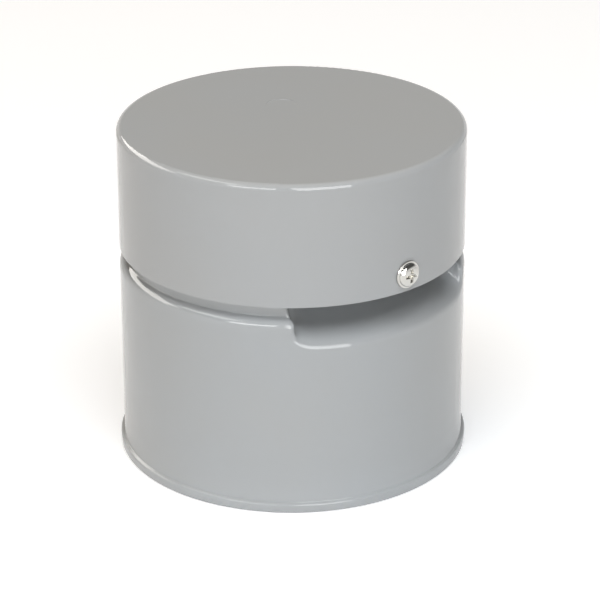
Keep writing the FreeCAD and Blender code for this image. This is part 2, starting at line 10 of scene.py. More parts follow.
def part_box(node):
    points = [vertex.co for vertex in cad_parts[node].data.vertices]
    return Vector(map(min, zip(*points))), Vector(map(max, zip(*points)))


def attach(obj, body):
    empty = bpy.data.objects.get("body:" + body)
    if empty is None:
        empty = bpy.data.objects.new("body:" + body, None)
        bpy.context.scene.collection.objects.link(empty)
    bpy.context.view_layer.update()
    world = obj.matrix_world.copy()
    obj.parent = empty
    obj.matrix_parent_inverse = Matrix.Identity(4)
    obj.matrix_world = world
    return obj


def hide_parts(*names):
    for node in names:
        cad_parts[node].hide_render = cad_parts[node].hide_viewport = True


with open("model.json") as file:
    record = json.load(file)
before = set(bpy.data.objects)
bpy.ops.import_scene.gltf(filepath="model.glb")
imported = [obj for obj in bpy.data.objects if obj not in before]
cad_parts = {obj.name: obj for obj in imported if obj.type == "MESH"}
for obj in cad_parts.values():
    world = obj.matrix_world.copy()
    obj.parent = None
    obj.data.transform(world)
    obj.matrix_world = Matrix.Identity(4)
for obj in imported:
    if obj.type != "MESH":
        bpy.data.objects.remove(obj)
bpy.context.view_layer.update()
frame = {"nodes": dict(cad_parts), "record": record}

# Body. One grey PVC injection moulding: foot flange, socket for the pipe, two air inlets with sloping floors,
# a shoulder, and the neck that the cap goes over. The mould's edges are all rounded, so the outer skin is one
# smooth surface: a net of control points in angle, radius and height that a cubic spline runs over.
MM = 0.001
pipe_socket = next(mount for mount in frame["record"]["mounts"] if mount["name"] == "pipe_socket")
inner_socket = next(mount for mount in frame["record"]["mounts"] if mount["name"] == "inner_pipe_socket")
SOCKET_RADIUS = pipe_socket["dims"]["r_mm"]
TUBE_BORE = inner_socket["dims"]["r_mm"]
FLANGE_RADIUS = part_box("body")[1].x / MM
NECK_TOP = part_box("body")[1].z / MM
CAP_RIM_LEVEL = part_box("cap")[0].z / MM
WALL_RADIUS, WALL_TOP_RADIUS = SOCKET_RADIUS + 3.5, SOCKET_RADIUS + 3.3
FLANGE_HEIGHT, FLANGE_ROUND, FOOT_CHAMFER = 3.1, 0.7, 0.25
SHOULDER_LEVEL, SHOULDER_SLOPE = 68.9, math.radians(28)
NECK_RADIUS, NECK_BORE = 55.5, 51.6
SHOULDER_EDGE = SHOULDER_LEVEL - (WALL_TOP_RADIUS - NECK_RADIUS) * math.tan(SHOULDER_SLOPE)
LIP_LEVEL, FLOOR_SLOPE = 59.3, math.radians(29)
INLET_TOP = CAP_RIM_LEVEL + 1.23
INLET_HALF_ANGLE = 37.75
TUBE_RADIUS = TUBE_BORE + 2.75
SEAT_LEVEL = NECK_TOP - 7.3
DEGREES_PER_MM = math.degrees(1 / WALL_TOP_RADIUS)
SPLINE_STEPS = 4


def wall_radius(level):
    """The outer wall leans in by a fifth of a millimetre from the flange to the shoulder."""
    share = (level - FLANGE_HEIGHT) / (SHOULDER_EDGE - FLANGE_HEIGHT)
    return WALL_RADIUS + (WALL_TOP_RADIUS - WALL_RADIUS) * share


def floor_level(radius):
    """An inlet's floor rises from its lip towards the tube."""
    return LIP_LEVEL + (WALL_TOP_RADIUS - radius) * math.tan(FLOOR_SLOPE)


def spline_along(points, steps, closing=None):
    """Points on a uniform cubic B-spline over the first axis, closed if its closing step is given."""
    if closing is None:
        padded = np.concatenate([2 * points[:1] - points[1:2], points, 2 * points[-1:] - points[-2:-1]])
    else:
        padded = np.concatenate([points[-1:] - closing, points, points[:2] + closing])
    rows = []
    for span in range(len(padded) - 3):
        for step in range(steps):
            part = step / steps
            weights = np.array([(1 - part) ** 3, 3 * part ** 3 - 6 * part ** 2 + 4,
                                3 * (part + part ** 2 - part ** 3) + 1, part ** 3]) / 6
            rows.append(np.tensordot(weights, padded[span:span + 4], axes=(0, 0)))
    if closing is None:
        rows.append(points[-1])
    return np.array(rows)


# Levels of the wall rows, and radius and height of the inner rows, on the land and in an inlet. An inlet's
# lip is a round of about 2.4 mm, so its control points lie close together.
LAND_WALL = (30, 40, 50, 57, 62, 64.7)
INLET_WALL = (30, 37, 44, 50.0, 54.4, 57.3)
LIP_START = 58.4
LAND_INNER = ((56.1, 68.58), (NECK_RADIUS, SHOULDER_LEVEL), (NECK_RADIUS, 69.3), (NECK_RADIUS, 72.0),
              (NECK_RADIUS, INLET_TOP))
INLET_INNER = ((58.2, 59.3), (57.5, 59.9), (56.6, 60.36), (51.0, floor_level(51.0)),
               (TUBE_RADIUS, floor_level(TUBE_RADIUS)))
# The end of an inlet, column by column from the inlet to the land: distance along the wall from the end,
# with the level on the wall's six rows and on the edge, then radius and level on the five inner rows.
END_COLUMNS = (
    ((-11, 30), (-11, 37), (-11, 44), (-11.05, 50.0), (-11.1, 54.4), (-11.2, 57.3), (-11.4, 58.4),
     (-11.5, 58.2, 59.3), (-11.5, 57.5, 59.9), (-11.5, 56.6, 60.36), (-11.4, 51.0, 63.48), (-11, 44, 67.36)),
    ((-8, 30), (-8, 37), (-7.9, 44), (-7.6, 50.1), (-7.4, 54.5), (-7.4, 57.35), (-7.5, 58.48),
     (-7.5, 58.2, 59.37), (-7.4, 57.5, 59.96), (-7.3, 56.6, 60.41), (-7.2, 51.0, 63.5), (-7, 44, 67.38)),
    ((-5.4, 30), (-5.3, 37.5), (-5.1, 44.8), (-4.4, 50.7), (-3.5, 54.9), (-3.3, 57.6), (-3.5, 58.8),
     (-3.3, 58.15, 59.7), (-3.0, 57.5, 60.3), (-2.7, 56.6, 60.8), (-2.3, 51.2, 63.8), (-1.9, 44, 67.5)),
    ((-2.9, 30), (-2.7, 37.8), (-2.2, 45.6), (-1.0, 51.8), (0.9, 56.2), (1.6, 59.2), (0.9, 60.6),
     (0.4, 58.05, 61.4), (0.4, 57.3, 61.9), (0.6, 56.2, 62.6), (1.4, 52.2, 65.2), (2.0, 47.5, 69.2)),
    ((-0.4, 30), (-0.1, 38.4), (0.4, 46.6), (1.3, 53.4), (2.9, 58.9), (3.2, 62.0), (2.0, 63.4),
     (0.8, 57.6, 64.3), (0.7, 56.6, 65.1), (1.3, 55.5, 66.3), (2.8, 53.4, 68.9), (3.3, 51.9, 72.3)),
    ((2.1, 30), (2.3, 39), (2.6, 47.4), (3.0, 54.6), (4.4, 61.3), (3.2, 64.6), (1.0, 66.9),
     (0.3, 56.8, 67.9), (1.6, 55.6, 68.6), (3.1, 55.5, 70.0), (3.4, 55.5, 72.4), (3.4, 55.5, INLET_TOP)),
    ((4.6, 30), (4.7, 39.6), (4.8, 48.9), (5.0, 56.3), (5.8, 62), (4.8, 64.7), (4.2, SHOULDER_EDGE),
     (4.0, 56.1, 68.58), (5.0, 55.5, SHOULDER_LEVEL), (5.7, 55.5, 69.3), (5.8, 55.5, 72.0),
     (5.8, 55.5, INLET_TOP)),
    ((7.4, 30), (7.4, 40), (7.4, 49.7), (7.4, 57), (7.8, 62), (7.3, 64.7), (7, SHOULDER_EDGE),
     (7.2, 56.1, 68.58), (7.8, 55.5, SHOULDER_LEVEL), (8.2, 55.5, 69.3), (8.3, 55.5, 72.0),
     (8.3, 55.5, INLET_TOP)),
)
COLUMN_STEP, INLET_COLUMNS, LAND_COLUMNS = 3.0, 9, 15
FRONT_INLET, BACK_INLET, FULL_TURN = -90, 90, 360.0


def plain_column(angle, wall_levels, edge_level, inner):
    """A control column well away from the inlets' ends: rows of (angle, radius, level)."""
    rows = [(angle, wall_radius(level), level) for level in wall_levels]
    rows.append((angle, WALL_TOP_RADIUS, edge_level))
    return rows + [(angle, radius, level) for radius, level in inner]


def end_column(places):
    """A control column at an inlet's end, from its distances along the wall."""
    rows = []
    for place in places:
        angle = INLET_HALF_ANGLE + place[0] * DEGREES_PER_MM
        if len(place) == 2:
            rows.append((angle, wall_radius(place[1]), place[1]))
        else:
            rows.append((angle, place[1], place[2]))
    return rows


quarter = []
for number in range(INLET_COLUMNS):
    quarter.append(plain_column(number * COLUMN_STEP, INLET_WALL, LIP_START, INLET_INNER))
quarter += [end_column(places) for places in END_COLUMNS]
for number in reversed(range(LAND_COLUMNS)):
    quarter.append(plain_column(90 - number * COLUMN_STEP, LAND_WALL, SHOULDER_EDGE, LAND_INNER))
quarter = np.array(quarter, float)


def turned(columns, middle, way):
    """Control columns about an inlet's middle, on one side of it."""
    moved = columns.copy()
    moved[:, :, 0] = middle + way * columns[:, :, 0]
    return moved


net = np.concatenate([
    turned(quarter, FRONT_INLET, 1), turned(quarter[-2::-1], BACK_INLET, -1),
    turned(quarter[1:], BACK_INLET, 1), turned(quarter[-2:0:-1], FRONT_INLET + FULL_TURN, -1)])
skin = spline_along(net, SPLINE_STEPS, closing=np.array([FULL_TURN, 0, 0]))
skin = spline_along(skin.transpose(1, 0, 2), SPLINE_STEPS)

# Under the skin: the inlets' tops, the ring channel, the tube, and the socket with its cored ceiling.
SHELL_FLOOR = 3.0
CORE_OUTER, CORE_INNER = SOCKET_RADIUS - 0.6, TUBE_RADIUS + 3.0
CORE_SHOULDER, CORE_CROWN = 52.6, INLET_TOP - 3.0
CORE_FOOT, CORE_BEND = SHOULDER_EDGE - 3.0, SHOULDER_EDGE - 1.0
CORE_MIDDLES, CORE_HALF_ANGLE = (0, 20, 40), 8.25
CEILING_RADII = (CORE_OUTER, 53.4, 52, 50.4, 48.7, CORE_INNER)
STOP_BORE, STOP_LEVEL, TUBE_FOOT = TUBE_BORE - 2.4, SEAT_LEVEL - 4.2, 57.5
CHANNEL_FLOOR, CHANNEL_ROUND = 67.6, 67.9
SOCKET_LEAD_IN = 1.4
WALL_FOOT, WALL_FOOT_CORNER, WALL_MARKS = 0.35, 0.1, (12, 21)


def ceiling_level(radius):
    """The underside of an inlet's floor, which is as thick as the shell."""
    return floor_level(radius) - SHELL_FLOOR / math.cos(FLOOR_SLOPE)


def in_core(angle):
    """Whether an azimuth lies in one of the pockets between the inlets."""
    from_land = abs((angle + 90) % 180 - 90)
    return any(abs(from_land - middle) < CORE_HALF_ANGLE for middle in CORE_MIDDLES)


def rounded_corner(corner, radius, start, end, steps=5):
    """Points on a quarter round at the outside of a corner, from one angle to the other, in degrees."""
    points = []
    for step in range(steps + 1):
        angle = math.radians(start + (end - start) * step / steps)
        points.append((corner[0] + radius * math.cos(angle), corner[1] + radius * math.sin(angle)))
    return points


flange_edge = rounded_corner(
    (FLANGE_RADIUS - FLANGE_ROUND, FLANGE_HEIGHT - FLANGE_ROUND), FLANGE_ROUND, 0, 90)
foot_edge = rounded_corner((FLANGE_RADIUS - FOOT_CHAMFER, FOOT_CHAMFER), FOOT_CHAMFER, -90, 0, steps=3)
wall_foot = [(WALL_RADIUS + WALL_FOOT, FLANGE_HEIGHT),
             (WALL_RADIUS + WALL_FOOT_CORNER, FLANGE_HEIGHT + WALL_FOOT_CORNER),
             (WALL_RADIUS, FLANGE_HEIGHT + WALL_FOOT)]
wall_foot += [(wall_radius(level), level) for level in WALL_MARKS]
core_rows = [(CORE_OUTER, ceiling_level(CORE_OUTER)), (CORE_OUTER, CORE_FOOT), (CORE_SHOULDER, CORE_BEND),
             (CORE_SHOULDER, CORE_CROWN), (CORE_INNER, CORE_CROWN), (CORE_INNER, ceiling_level(CORE_INNER))]
plain_rows = [(radius, ceiling_level(radius)) for radius in CEILING_RADII]
below_skin = [(SOCKET_RADIUS, ceiling_level(SOCKET_RADIUS)), (SOCKET_RADIUS, SOCKET_LEAD_IN),
              (SOCKET_RADIUS + SOCKET_LEAD_IN, 0)] + foot_edge + flange_edge + wall_foot

lower_angles, upper_angles = skin[0, :, 0], skin[-1, :, 0]
inner_rim = skin[-1]
loops = []
for column in range(skin.shape[1]):
    share = (NECK_RADIUS - inner_rim[column, 1]) / (NECK_RADIUS - TUBE_RADIUS)
    upper, lower = upper_angles[column], lower_angles[column]
    bore = NECK_BORE + share * (TUBE_RADIUS - NECK_BORE)
    rows = [(upper, bore, INLET_TOP - share * (INLET_TOP - CHANNEL_FLOOR)),
            (upper, TUBE_RADIUS, INLET_TOP - share * (INLET_TOP - CHANNEL_ROUND)),
            (upper, TUBE_RADIUS, SEAT_LEVEL)]
    rows += [(lower, STOP_BORE, SEAT_LEVEL), (lower, STOP_BORE, STOP_LEVEL), (lower, TUBE_BORE, STOP_LEVEL),
             (lower, TUBE_BORE, TUBE_FOOT), (lower, TUBE_RADIUS, TUBE_FOOT),
             (lower, TUBE_RADIUS, ceiling_level(TUBE_RADIUS))]
    pocket = core_rows if in_core(lower) else plain_rows
    rows += [(lower, radius, level) for radius, level in reversed(pocket)]
    rows += [(lower, radius, level) for radius, level in below_skin]
    loops.append(rows)
loops = np.array(loops).transpose(1, 0, 2)
body_rows = np.concatenate([skin, loops])
SAME = 1e-9
on_land = (np.abs(inner_rim[:, 1] - NECK_RADIUS) < SAME) & (np.abs(inner_rim[:, 2] - INLET_TOP) < SAME)

# The neck's ring above the inlets, with the seal's groove outside and the seat's ledge inside.
SEAL_LEVEL, GROOVE_HALF, GROOVE_RADIUS = NECK_TOP - 3.5, 1.4, 53.1
LEDGE_RADIUS, LEDGE_THICK, LEDGE_FOOT = NECK_BORE - 1.4, 0.7, 2.1
NECK_CHAMFER = 0.4
neck_profile = [
    (NECK_RADIUS, INLET_TOP),
    (NECK_RADIUS, SEAL_LEVEL - GROOVE_HALF), (GROOVE_RADIUS, SEAL_LEVEL - GROOVE_HALF),
    (GROOVE_RADIUS, SEAL_LEVEL + GROOVE_HALF), (NECK_RADIUS, SEAL_LEVEL + GROOVE_HALF),
    (NECK_RADIUS, NECK_TOP - NECK_CHAMFER), (NECK_RADIUS - NECK_CHAMFER, NECK_TOP),
    (NECK_BORE, NECK_TOP), (NECK_BORE, SEAT_LEVEL),
    (LEDGE_RADIUS, SEAT_LEVEL), (LEDGE_RADIUS, SEAT_LEVEL - LEDGE_THICK), (NECK_BORE, SEAT_LEVEL - LEDGE_FOOT),
    (NECK_BORE, INLET_TOP)]
neck_rows = np.array([[(angle, radius, level) for angle in upper_angles] for radius, level in neck_profile])


def ring_faces(row_count, column_count, left_out, first=0):
    """Quads between neighbouring rows of a closed loop. One row has none between columns on land."""
    faces = []
    for row in range(row_count):
        above = (row + 1) % row_count
        for column in range(column_count):
            beside = (column + 1) % column_count
            if row == left_out and on_land[column] and on_land[beside]:
                continue
            corners = [(row, column), (row, beside), (above, beside), (above, column)]
            faces.append([first + r * column_count + c for r, c in corners])
    return faces


def to_place(rows):
    """Angle, radius and level in millimetres and degrees to points in metres."""
    angle = np.radians(rows[..., 0])
    points = np.stack([rows[..., 1] * np.cos(angle), rows[..., 1] * np.sin(angle), rows[..., 2]], axis=-1)
    return points.reshape(-1, 3) * MM


columns = skin.shape[1]
points = np.concatenate([to_place(body_rows), to_place(neck_rows)])
faces = ring_faces(len(body_rows), columns, len(skin) - 1)
faces += ring_faces(len(neck_rows), columns, len(neck_rows) - 1, first=len(body_rows) * columns)


SHARP_EDGE = math.radians(35)


def closed_mesh(name, points, faces, merge=0.000001):
    """A mesh with doubles merged and faces pointing out of the solid."""
    mesh = bpy.data.meshes.new(name)
    mesh.from_pydata([tuple(point) for point in points], [], faces)
    work = bmesh.new()
    work.from_mesh(mesh)
    bmesh.ops.remove_doubles(work, verts=work.verts, dist=merge)
    bmesh.ops.dissolve_degenerate(work, dist=merge, edges=work.edges)
    bmesh.ops.recalc_face_normals(work, faces=work.faces)
    work.to_mesh(mesh)
    work.free()
    mesh.shade_smooth()
    mesh.set_sharp_from_angle(angle=SHARP_EDGE)
    return mesh


def new_piece(name, mesh):
    """An object at the origin that holds a mesh."""
    piece = bpy.data.objects.new(name, mesh)
    bpy.context.scene.collection.objects.link(piece)
    return piece


moulding = new_piece("body_moulding", closed_mesh("body_moulding", points, faces))

PVC_GREY = (0.455, 0.472, 0.480)
PVC_GREY_WARM = (0.462, 0.462, 0.448)


def moulded_skin_group():
    """Colour mask, roughness and normal of a moulded plastic skin, from the piece's own coordinates."""
    group = bpy.data.node_groups.new("moulded_skin", "ShaderNodeTree")
    face = group.interface
    for name, default in (("Flow scale", 22.0), ("Ripple scale", 900.0), ("Ripple height", 0.00001),
                          ("Roughness low", 0.2), ("Roughness high", 0.3)):
        socket = face.new_socket(name, in_out="INPUT", socket_type="NodeSocketFloat")
        socket.default_value = default
    for name, kind in (("Mask", "Float"), ("Roughness", "Float"), ("Normal", "Vector")):
        face.new_socket(name, in_out="OUTPUT", socket_type="NodeSocket" + kind)
    n, link = group.nodes, group.links.new
    inputs, outputs = n.new("NodeGroupInput"), n.new("NodeGroupOutput")
    place = n.new("ShaderNodeTexCoord")
    flow = n.new("ShaderNodeTexNoise")
    flow.inputs["Detail"].default_value = 3.0
    link(place.outputs["Object"], flow.inputs["Vector"])
    link(inputs.outputs["Flow scale"], flow.inputs["Scale"])
    link(flow.outputs["Fac"], outputs.inputs["Mask"])
    spread = n.new("ShaderNodeMapRange")
    spread.inputs["From Min"].default_value = 0.3
    spread.inputs["From Max"].default_value = 0.7
    link(flow.outputs["Fac"], spread.inputs["Value"])
    link(inputs.outputs["Roughness low"], spread.inputs["To Min"])
    link(inputs.outputs["Roughness high"], spread.inputs["To Max"])
    link(spread.outputs["Result"], outputs.inputs["Roughness"])
    ripple = n.new("ShaderNodeTexNoise")
    ripple.inputs["Detail"].default_value = 2.0
    link(place.outputs["Object"], ripple.inputs["Vector"])
    link(inputs.outputs["Ripple scale"], ripple.inputs["Scale"])
    bump = n.new("ShaderNodeBump")
    bump.inputs["Strength"].default_value = 1.0
    link(inputs.outputs["Ripple height"], bump.inputs["Distance"])
    link(ripple.outputs["Fac"], bump.inputs["Height"])
    link(bump.outputs["Normal"], outputs.inputs["Normal"])
    return group


moulded_skin = moulded_skin_group()


def skin_material(name, colours, roughness, ripple=0.00001, flow=22.0, ripple_scale=900.0, metallic=0.0):
    """Two near colours mixed by the flow marks, with uneven gloss between two values and a fine ripple."""
    material = bpy.data.materials.new(name)
    material.use_nodes = True
    n, link = material.node_tree.nodes, material.node_tree.links.new
    shader = n["Principled BSDF"]
    shader.inputs["Metallic"].default_value = metallic
    skin = n.new("ShaderNodeGroup")
    skin.node_tree = moulded_skin
    for socket, value in (("Flow scale", flow), ("Ripple scale", ripple_scale), ("Ripple height", ripple),
                          ("Roughness low", roughness[0]), ("Roughness high", roughness[1])):
        skin.inputs[socket].default_value = value
    mix = n.new("ShaderNodeMix")
    mix.data_type = "RGBA"
    for socket, colour in zip(("A", "B"), colours):
        mix.inputs[socket].default_value = (*colour, 1)
    link(skin.outputs["Mask"], mix.inputs["Factor"])
    link(mix.outputs["Result"], shader.inputs["Base Color"])
    link(skin.outputs["Roughness"], shader.inputs["Roughness"])
    link(skin.outputs["Normal"], shader.inputs["Normal"])
    return material


def dress(node, material):
    """Gives a CAD node its material."""
    slots = frame["nodes"][node].data.materials
    slots.clear()
    slots.append(material)


pvc = skin_material("pvc_grey", (PVC_GREY, PVC_GREY_WARM), (0.03, 0.055), ripple=0.000005)
moulding.data.materials.append(pvc)
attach(moulding, "housing")
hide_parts("body")

# Insect screen. A thin slotted ring in black plastic that lies over the ring channel, under the seat
# plate's air slots. It is moulded flat and simply laid in.
SCREEN_BLACK = (0.02, 0.02, 0.022)
SCREEN_DUSTY = (0.034, 0.033, 0.031)
dress("insect_screen", skin_material("screen_black", (SCREEN_BLACK, SCREEN_DUSTY), (0.35, 0.5), flow=80.0))

# Seat gaskets. Two flat rings cut from black rubber sheet, one on the inner tube's top and one on the
# neck's ledge. The seat plate presses them down.
GASKET_BLACK = (0.022, 0.022, 0.024)
GASKET_WORN = (0.04, 0.039, 0.038)
gasket_rubber = skin_material(
    "gasket_rubber", (GASKET_BLACK, GASKET_WORN), (0.55, 0.72), ripple=0.00002, flow=60.0)
dress("seat_gaskets", gasket_rubber)

# Seat plate. One off-white moulding with two raised lips, air slots between them and a spider with the
# post's hub. It snaps in under eight small catches in the neck.
SEAT_WHITE = (0.74, 0.74, 0.72)
SEAT_CREAM = (0.70, 0.69, 0.65)
dress("seat_plate", skin_material("seat_white", (SEAT_WHITE, SEAT_CREAM), (0.2, 0.32), flow=35.0))

# Guide post. A plain stem in hard white plastic, pressed into the seat plate's hub up to its collar. Its
# sides are smooth, because the valve disc's sleeve slides on them.
POST_WHITE = (0.76, 0.76, 0.75)
POST_SLID = (0.70, 0.70, 0.70)
post_white = skin_material("post_white", (POST_WHITE, POST_SLID), (0.12, 0.22), ripple=0.000005, flow=90.0)
dress("guide_post", post_white)

# Diaphragm. A flat ring of soft black rubber that lies on both seat lips and closes the valve by its own
# weight. It is moulded, with a faint bloom on its skin.
DIAPHRAGM_BLACK = (0.026, 0.026, 0.028)
DIAPHRAGM_BLOOM = (0.055, 0.054, 0.054)
diaphragm_rubber = skin_material(
    "diaphragm_rubber", (DIAPHRAGM_BLACK, DIAPHRAGM_BLOOM), (0.5, 0.65), ripple=0.00001, flow=45.0)
dress("diaphragm", diaphragm_rubber)

# Diaphragm clamp. A flat ring moulded in white plastic, under the diaphragm and between the seat's lips.
# Studs weld it through the rubber to the carrier.
CLAMP_WHITE = (0.72, 0.72, 0.70)
CLAMP_CREAM = (0.69, 0.68, 0.65)
dress("diaphragm_clamp", skin_material("clamp_white", (CLAMP_WHITE, CLAMP_CREAM), (0.25, 0.35), flow=50.0))

# Diaphragm carrier. An open white moulding: a channelled ring on six spokes, with a sleeve that slides on
# the post. It holds the diaphragm flat and makes the disc heavy enough to fall shut.
CARRIER_WHITE = (0.75, 0.75, 0.73)
CARRIER_CREAM = (0.71, 0.70, 0.67)
carrier_white = skin_material("carrier_white", (CARRIER_WHITE, CARRIER_CREAM), (0.2, 0.3), flow=30.0)
dress("diaphragm_carrier", carrier_white)

# Cap seal. A black rubber ring in the groove round the neck's top. The cap's skirt squeezes it, because
# the space under the cap is open to the pipe.
SEAL_BLACK = (0.02, 0.02, 0.021)
SEAL_GREASED = (0.03, 0.03, 0.03)
seal_rubber = skin_material("seal_rubber", (SEAL_BLACK, SEAL_GREASED), (0.3, 0.5), ripple=0.00002, flow=70.0)
dress("cap_seal", seal_rubber)

# Cap. A grey PVC drum with a rounded top edge, a little glossier than the body, with ribs inside that rest
# on the neck and one round mould mark on its top. It is pushed over the neck and held by the screws.
CAP_GREY = (0.458, 0.470, 0.474)
CAP_GREY_WARM = (0.466, 0.462, 0.446)
dress("cap", skin_material("cap_grey", (CAP_GREY, CAP_GREY_WARM), (0.03, 0.05), ripple=0.000004, flow=18.0))

# Cap screws. Bright plated steel screws with a thin rim under a domed head and a cross recess, one through
# the cap's skirt over each inlet and into a boss. The heads are pressed, so their edges are all rounded.
screws_low, screws_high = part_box("cap_screws")
SCREW_LEVEL = (screws_low.z + screws_high.z) / 2
HEAD_RADIUS = (screws_high.z - screws_low.z) / 2
HEAD_TOP = screws_high.y
HEAD_HEIGHT, RIM_HEIGHT, RIM_WIDTH = 0.0025, 0.0007, 0.00065
RIM_EDGE, RIM_CORNER, DOME_CORNER = 0.0001, 0.00006, 0.00003
DOME_STEPS, DOME_FULLNESS, DOME_RISE = 24, 0.8, 0.9
SHANK_RADIUS, SHANK_LENGTH, SHANK_NECK = 0.002, 0.0095, 0.0004
POINT_LENGTH, POINT_RADIUS = 0.0016, 0.0004
RECESS_REACH, RECESS_WIDTH, RECESS_DEPTH, RECESS_TAPER = 0.0025, 0.0012, 0.0017, 0.55
THREAD_PITCH, THREAD_HEIGHT = 0.0013, 0.0003
LATHE_SIDES = 72
PRESS_ROUND, PRESSED_EDGE, SCREW_SHARP_EDGE = 0.00008, math.radians(38), math.radians(30)


def screw_profile():
    """Distance from the axis and distance out along it, from the point to the middle of the dome."""
    seat = HEAD_TOP - HEAD_HEIGHT
    tip = seat - SHANK_LENGTH
    profile = [(0, tip), (POINT_RADIUS, tip)]
    core = SHANK_RADIUS - THREAD_HEIGHT
    turns = int((SHANK_LENGTH - POINT_LENGTH) / THREAD_PITCH)
    for turn in range(turns):
        start = tip + POINT_LENGTH + turn * THREAD_PITCH
        for radius, share in ((core, 0), (SHANK_RADIUS, 0.4), (SHANK_RADIUS, 0.5), (core, 0.9)):
            profile.append((radius, start + share * THREAD_PITCH))
    rim = seat + RIM_HEIGHT
    profile += [(SHANK_RADIUS, seat - SHANK_NECK), (SHANK_RADIUS, seat), (HEAD_RADIUS - RIM_EDGE, seat),
                (HEAD_RADIUS, seat + RIM_EDGE), (HEAD_RADIUS, rim - 2 * RIM_EDGE),
                (HEAD_RADIUS - RIM_CORNER, rim - RIM_CORNER), (HEAD_RADIUS - 2 * RIM_EDGE, rim)]
    dome = HEAD_RADIUS - RIM_WIDTH
    rise = HEAD_HEIGHT - RIM_HEIGHT - RIM_EDGE
    profile += [(dome + RIM_EDGE, rim), (dome + DOME_CORNER, rim + DOME_CORNER)]
    for step in range(DOME_STEPS + 1):
        angle = math.radians(90 * step / DOME_STEPS)
        profile.append((dome * math.cos(angle) ** DOME_FULLNESS,
                        rim + RIM_EDGE + rise * math.sin(angle) ** DOME_RISE))
    profile[-1] = (0, HEAD_TOP)
    return profile


def lathe(profile, sides):
    """A closed mesh turned about the Y axis from a profile that starts and ends on it."""
    work = bmesh.new()
    rings = []
    for radius, along in profile:
        if radius == 0:
            rings.append([work.verts.new((0, along, SCREW_LEVEL))])
            continue
        rings.append([work.verts.new((radius * math.cos(math.tau * side / sides), along,
                                      SCREW_LEVEL + radius * math.sin(math.tau * side / sides)))
                      for side in range(sides)])
    for lower, upper in zip(rings, rings[1:]):
        for side in range(sides):
            beside = (side + 1) % sides
            corners = [ring[index % len(ring)] for ring, index in
                       ((lower, side), (lower, beside), (upper, beside), (upper, side))]
            work.faces.new(list(dict.fromkeys(corners)))
    bmesh.ops.recalc_face_normals(work, faces=work.faces)
    return work


def recess_cutter():
    """Two crossed wedges that taper towards the bottom of the recess and stand out past the dome."""
    work = bmesh.new()
    out, foot = HEAD_TOP + 0.001, HEAD_TOP - RECESS_DEPTH
    for across, up in ((RECESS_REACH, RECESS_WIDTH / 2), (RECESS_WIDTH / 2, RECESS_REACH)):
        corners = []
        for along, spread in ((foot, RECESS_TAPER), (HEAD_TOP, 1.0), (out, 1.0)):
            corners.append([work.verts.new((x * across * spread, along, SCREW_LEVEL + z * up * spread))
                            for x, z in ((-1, -1), (1, -1), (1, 1), (-1, 1))])
        for lower, upper in zip(corners, corners[1:]):
            for side in range(4):
                beside = (side + 1) % 4
                work.faces.new((lower[side], lower[beside], upper[beside], upper[side]))
        work.faces.new(corners[0])
        work.faces.new(corners[-1])
    bmesh.ops.recalc_face_normals(work, faces=work.faces)
    return work


def to_object(name, work):
    """A piece from a bmesh, which is used up."""
    mesh = bpy.data.meshes.new(name)
    work.to_mesh(mesh)
    work.free()
    return new_piece(name, mesh)


screw = to_object("one_screw", lathe(screw_profile(), LATHE_SIDES))
cutter = to_object("recess_cutter", recess_cutter())
recess = screw.modifiers.new("recess", "BOOLEAN")
recess.object = cutter
recess.operation = "DIFFERENCE"
recess.solver = "EXACT"
recess.use_self = True
press_round = screw.modifiers.new("press_round", "BEVEL")
press_round.width = PRESS_ROUND
press_round.segments = 2
press_round.limit_method = "ANGLE"
press_round.angle_limit = PRESSED_EDGE


def screws_tree():
    """Geometry nodes that set a screw round the cap as many times as it is asked for."""
    tree = bpy.data.node_groups.new("screws_round_cap", "GeometryNodeTree")
    face = tree.interface
    face.new_socket("Screw", in_out="INPUT", socket_type="NodeSocketObject")
    face.new_socket("Count", in_out="INPUT", socket_type="NodeSocketInt")
    face.new_socket("Material", in_out="INPUT", socket_type="NodeSocketMaterial")
    face.new_socket("Geometry", in_out="OUTPUT", socket_type="NodeSocketGeometry")
    n, link = tree.nodes, tree.links.new
    inputs, outputs = n.new("NodeGroupInput"), n.new("NodeGroupOutput")
    places = n.new("GeometryNodePoints")
    link(inputs.outputs["Count"], places.inputs["Count"])
    source = n.new("GeometryNodeObjectInfo")
    link(inputs.outputs["Screw"], source.inputs["Object"])
    step = n.new("ShaderNodeMath")
    step.operation = "DIVIDE"
    step.inputs[0].default_value = math.tau
    link(inputs.outputs["Count"], step.inputs[1])
    angle = n.new("ShaderNodeMath")
    angle.operation = "MULTIPLY"
    link(step.outputs["Value"], angle.inputs[0])
    link(n.new("GeometryNodeInputIndex").outputs["Index"], angle.inputs[1])
    turn = n.new("ShaderNodeCombineXYZ")
    link(angle.outputs["Value"], turn.inputs["Z"])
    ring = n.new("GeometryNodeInstanceOnPoints")
    link(places.outputs["Points"], ring.inputs["Points"])
    link(source.outputs["Geometry"], ring.inputs["Instance"])
    link(turn.outputs["Vector"], ring.inputs["Rotation"])
    real = n.new("GeometryNodeRealizeInstances")
    link(ring.outputs["Instances"], real.inputs["Geometry"])
    plated = n.new("GeometryNodeSetMaterial")
    link(real.outputs["Geometry"], plated.inputs["Geometry"])
    link(inputs.outputs["Material"], plated.inputs["Material"])
    link(plated.outputs["Geometry"], outputs.inputs["Geometry"])
    return tree


